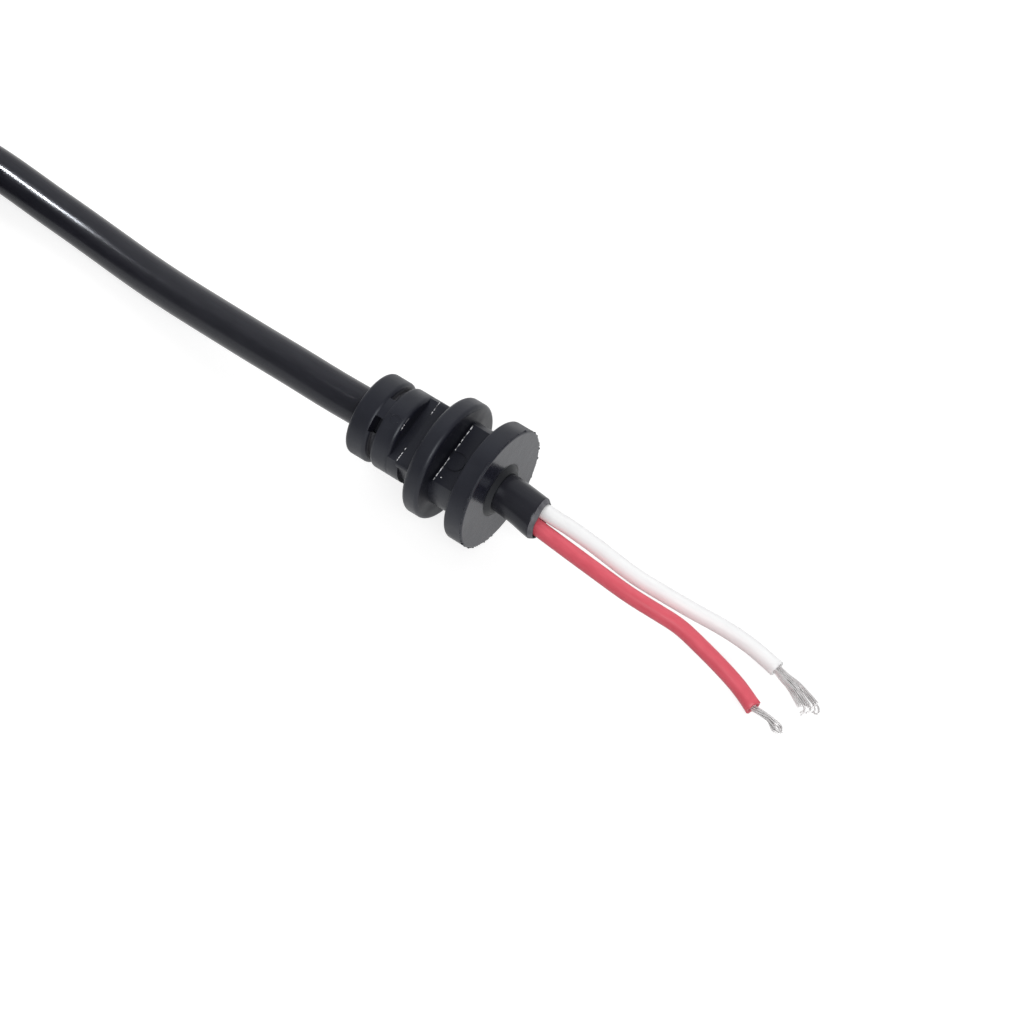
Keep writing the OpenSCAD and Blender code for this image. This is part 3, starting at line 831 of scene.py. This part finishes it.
def white_strands(path):
    """Strands that splay out flat, with uneven ends; some turn back at the tip."""
    draw = random.Random(11)
    end, tangent = path[-1], (path[-1] - path[-2]).normalized()
    side = tangent.cross(Vector((0, 0, 1))).normalized()
    above = side.cross(tangent)
    lines = []
    for k in range(WHITE_COUNT):
        share = k / (WHITE_COUNT - 1)
        a = math.pi * (1 - share)
        lift = (1 if k % 2 else -1) * math.sin(a) * WHITE_ROOT_HALF_H * draw.uniform(0.2, 1.0)
        root = end + WHITE_ROOT_HALF_W * math.cos(a) * side + lift * above
        stray = Vector((draw.uniform(-0.45, 0.3), draw.uniform(-0.12, 0.12), 0))
        tip = WHITE_LEFT_TIP.lerp(WHITE_RIGHT_TIP, share) + stray
        tip.z += draw.uniform(-0.25, 0.35)
        middle = root.lerp(tip, 0.5) + Vector((0.1, 0.12, draw.uniform(0.0, 0.25)))
        quarter = root.lerp(tip, 0.22) + 0.05 * above
        line = [root - STRAND_ROOT_L * tangent, root, quarter, middle, tip]
        if k % HOOK_EVERY == 1:
            hook = Vector((draw.uniform(0.15, 0.4), draw.uniform(-0.55, -0.3), draw.uniform(-0.2, 0.2)))
            line += [tip + hook, tip + 1.7 * hook + Vector((-0.35, -0.1, -0.1))]
        lines.append([Vector((p.x, p.y, max(p.z, STRAND_LOW_Z))) for p in line])
    hook_from = WHITE_LEFT_TIP + Vector((-0.3, -0.05, 0.1))
    for shift in (0.0, 0.12):
        lines.append([
            end + 0.3 * side * (1 - shift), end + 0.8 * tangent + 0.2 * above,
            hook_from - Vector((1.2, -0.35 + shift, -0.1)), hook_from,
            Vector((46.62, 0.85 - shift, 0.72)), Vector((46.85, 0.4 - shift, 0.6)),
            Vector((46.6, 0.15, 0.5)), Vector((46.3, 0.3 + shift, 0.45)),
        ])
    return strand_bundle("white_wire_strands", lines)


red_bare = red_strands(red_path)
white_bare = white_strands(white_path)


# Traces of the mould on the strain relief, and pale flash lines on its edges that carry painted glints
# Stretches of pale flash with painted glints along the flats' rear edges, across the axis, and round the
# second ring
NECK_GLINT_FLASH = ((-4.0, -2.75), (-2.5, -2.2), (2.25, 2.7), (2.85, 4.0))
GROOVE_GLINT_FLASH = ((-3.7, -1.9), (-1.75, -0.75), (0.3, 1.2), (1.4, 2.9), (3.05, 3.6))
RING_GLINT_FLASH_DEGREES = ((87, 95), (97, 106))
RING_GLINT_FLASH_R = MID_RING_R - 0.06
GLINT_FLASH_LINE_R = 0.035
# A painted glint, a speck of pale flash on the groove's flat: distance from the edge, and its ends across
# the axis
GLINT_SPECK_AHEAD = 0.55
GLINT_SPECK = ((-3.1, -2.98),)
# The ragged fin on the outer flange: its place, its smallest and largest size, and the gap to the floor
RIM_FLASH_S, RIM_FLASH_R = RELIEF_L - 0.16, OUTER_FLANGE_R - 0.05
RIM_FLASH_LEAST, RIM_FLASH_MOST = 0.05, 0.2
RIM_FLASH_GAP = 0.02
# The round ejector mark on the second ring, the parting line beside it, and how both lines lie
MARK_S, MARK_DEGREES, MARK_R = 4.55, 97, 0.5
PARTING_S, PARTING_DEGREES = 3.55, 93
MARK_LINE_R = 0.035
MARK_DEPTH = 0.005


def painted_glint_lines():
    """Thin flash on the edges of the slots, as short uneven pieces, where glints are painted."""
    lines = []
    for station, height, spans in (
        (NECK_S, NECK_FLAT_H, NECK_GLINT_FLASH),
        (GROOVE_FLAT_S, GROOVE_FLAT_H, GROOVE_GLINT_FLASH),
        (GROOVE_FLAT_S + GLINT_SPECK_AHEAD, GROOVE_FLAT_H, GLINT_SPECK),
    ):
        for a, b in spans:
            lines.append([relief_point(station, a + (b - a) * k / 8, height) for k in range(9)])
    for a, b in RING_GLINT_FLASH_DEGREES:
        lines.append([relief_polar(CROSS_SLOT_S, RING_GLINT_FLASH_R, a + (b - a) * k / 8) for k in range(9)])
    return lines


def glint_flash_radius(n):
    """The radius of one piece of glint-painted flash along its length."""

    def radius(share):
        lump = noise.noise(Vector((14 * share, 3.7 * n, 0.5))) + 0.4
        return GLINT_FLASH_LINE_R * (1 + max(0.0, lump))

    return radius


# The flash lines, pale with painted glints
def edge_flash_painted_glints():
    shell = Shell()
    for n, line in enumerate(painted_glint_lines()):
        shell.add_tube(resample(line, step=0.08), glint_flash_radius(n), THIN_SIDES)
    return dress(shell.build("edge_flash_painted_glints"), PAINTED_GLINT)


def rim_flash():
    """A thin ragged fin on the front edge of the outer flange."""
    shell = Shell()
    line = [relief_polar(RIM_FLASH_S, RIM_FLASH_R, a) for a in range(-175, 181)]
    stations = []
    for k, p in enumerate(line):
        outward = (p - Vector((p.x, 0, AXIS_Z))).normalized()
        ragged = noise.noise(Vector((0.35 * k, 1.3, 2.2))) + 0.6 * noise.noise(Vector((1.1 * k, 7.3, 0.2)))
        room = max(RIM_FLASH_GAP, min(p.z - RIM_FLASH_GAP, RIM_FLASH_MOST))
        size = min(room, RIM_FLASH_LEAST + 0.16 * max(0.0, ragged))
        stations.append((p, outward, Vector((1, 0, 0)), size, 0.1 * k))
    shell.add(stations, THIN_SIDES)
    return dress(shell.build("rim_flash"), MOULDING)


def ring_marks():
    """The parting line and the round ejector mark on the second ring."""
    shell = Shell()
    r = MID_RING_R - MARK_DEPTH
    parting = [relief_polar(PARTING_S + 0.1 * k, r, PARTING_DEGREES) for k in range(19)]
    shell.add_tube(parting, MARK_LINE_R, THIN_SIDES)
    half_turn = math.degrees(MARK_R / MID_RING_R)
    angles = [2 * math.pi * k / 40 for k in range(39)]
    circle = [
        relief_polar(MARK_S + MARK_R * math.cos(a), r, MARK_DEGREES + half_turn * math.sin(a))
        for a in angles
    ]
    shell.add_tube(circle, MARK_LINE_R, THIN_SIDES)
    return dress(shell.build("ring_marks"), MOULDING)


edge_flash_painted_glints()
rim_flash()
ring_marks()

set_node_material("strain_relief", RELIEF)
for name in ("plug_grip", "plug_insulator"):
    set_node_material(name, MOULDING)
for name in ("hank_tie_front", "hank_tie_back"):
    set_node_material(name, TIE)
for name in ("plug_sleeve", "plug_centre_contact"):
    set_node_material(name, NICKEL)

# The cords' lengths, in metres, computed and not used
line_length(cable_path) * MM
line_length(red_path) * MM
line_length(white_path) * MM

# Floor and light
FLOOR_HALF = 3000
FLOOR_GREY = 0.42
# White that is added to the floor for the camera and for reflections
FLOOR_SEEN, FLOOR_MIRRORED = 0.74, 0.57
# Height of the dome's brightest point, the reach of its brightness as cosines, and its levels
DOME_POLE_UP = math.radians(20)
DOME_FAR, DOME_NEAR = 0.3, 0.92
DOME_LOW, DOME_HIGH = 0.4, 1.02


def seen_white(tree, surface, seen, mirrored):
    """Adds white to a surface shader: one strength for the camera, one for reflections."""
    paths = tree.nodes.new("ShaderNodeLightPath")
    strengths = {"Is Camera Ray": seen, "Is Transmission Ray": seen, "Is Glossy Ray": mirrored}
    levels = []
    for ray, strength in strengths.items():
        level = tree.nodes.new("ShaderNodeMath")
        level.operation = "MULTIPLY"
        level.inputs[1].default_value = strength
        tree.links.new(paths.outputs[ray], level.inputs[0])
        levels.append(level.outputs[0])
    total = levels[0]
    for level in levels[1:]:
        most = tree.nodes.new("ShaderNodeMath")
        most.operation = "MAXIMUM"
        tree.links.new(total, most.inputs[0])
        tree.links.new(level, most.inputs[1])
        total = most.outputs[0]
    glow = tree.nodes.new("ShaderNodeEmission")
    tree.links.new(total, glow.inputs["Strength"])
    both = tree.nodes.new("ShaderNodeAddShader")
    tree.links.new(surface, both.inputs[0])
    tree.links.new(glow.outputs[0], both.inputs[1])
    return both.outputs[0]


def add_floor():
    signs = ((-1, -1), (1, -1), (1, 1), (-1, 1))
    corners = [(x * FLOOR_HALF, y * FLOOR_HALF, 0) for x, y in signs]
    floor = mesh_object("floor", corners, [(0, 1, 2, 3)], smooth=False)
    material = bpy.data.materials.new("floor_white")
    material.use_nodes = True
    tree = material.node_tree
    tree.nodes.clear()
    out = tree.nodes.new("ShaderNodeOutputMaterial")
    matte = tree.nodes.new("ShaderNodeBsdfDiffuse")
    matte.inputs["Color"].default_value = (FLOOR_GREY, FLOOR_GREY, FLOOR_GREY, 1)
    white_floor = seen_white(tree, matte.outputs[0], FLOOR_SEEN, FLOOR_MIRRORED)
    tree.links.new(white_floor, out.inputs["Surface"])
    floor.data.materials.append(material)


def add_world():
    """A dim dome that is bright low behind the object, as the camera sees it."""
    world = bpy.data.worlds.new("studio")
    scene.world = world
    world.use_nodes = True
    tree = world.node_tree
    tree.nodes.clear()
    out = tree.nodes.new("ShaderNodeOutputWorld")
    coords = tree.nodes.new("ShaderNodeTexCoord")
    away = CAMERA_TARGET - CAMERA_AT
    away.z = 0
    pole = away.normalized() * math.cos(DOME_POLE_UP) + Vector((0, 0, math.sin(DOME_POLE_UP)))
    dot = tree.nodes.new("ShaderNodeVectorMath")
    dot.operation = "DOT_PRODUCT"
    tree.links.new(coords.outputs["Generated"], dot.inputs[0])
    dot.inputs[1].default_value = pole
    ramp = tree.nodes.new("ShaderNodeMapRange")
    ramp.interpolation_type = "SMOOTHSTEP"
    ramp.inputs["From Min"].default_value = DOME_FAR
    ramp.inputs["From Max"].default_value = DOME_NEAR
    ramp.inputs["To Min"].default_value = DOME_LOW
    ramp.inputs["To Max"].default_value = DOME_HIGH
    tree.links.new(dot.outputs["Value"], ramp.inputs["Value"])
    dome = tree.nodes.new("ShaderNodeBackground")
    tree.links.new(ramp.outputs["Result"], dome.inputs["Strength"])
    white_back = tree.nodes.new("ShaderNodeBackground")
    paths = tree.nodes.new("ShaderNodeLightPath")
    mix = tree.nodes.new("ShaderNodeMixShader")
    tree.links.new(paths.outputs["Is Camera Ray"], mix.inputs["Fac"])
    tree.links.new(dome.outputs[0], mix.inputs[1])
    tree.links.new(white_back.outputs[0], mix.inputs[2])
    tree.links.new(mix.outputs[0], out.inputs["Surface"])


def place_lamp(name, data, at, target):
    lamp = bpy.data.objects.new(name, data)
    scene.collection.objects.link(lamp)
    lamp.location = at
    lamp.rotation_euler = (Vector(target) - Vector(at)).to_track_quat("-Z", "Y").to_euler()
    return lamp


def add_lamp(name, at, target, size, power):
    data = bpy.data.lights.new(name, "AREA")
    data.shape = "SQUARE"
    data.size = size
    data.energy = power
    return place_lamp(name, data, at, target)


def add_snoot(name, at, target, degrees, radius, power):
    """A lamp with a narrow soft beam that makes a highlight and lights no colour."""
    data = bpy.data.lights.new(name, "SPOT")
    data.spot_size = math.radians(degrees)
    data.spot_blend = 1.0
    data.shadow_soft_size = radius
    data.energy = power
    place_lamp(name, data, at, target).visible_diffuse = False


add_floor()
add_world()
add_lamp("lamp_key", at=(0.33, -0.36, 0.54), target=(0.01, 0, 0.005), size=0.45, power=2.85)
lamp_back = add_lamp("lamp_back", at=(-0.15, 0.42, 0.5), target=(0.02, 0, 0.003), size=0.5, power=1.45)
lamp_back.visible_glossy = False
add_snoot(
    "lamp_streak", at=(-0.41, -0.155, 0.71), target=(-0.1, 0.004, 0.002),
    degrees=4.9, radius=0.055, power=170.0,
)
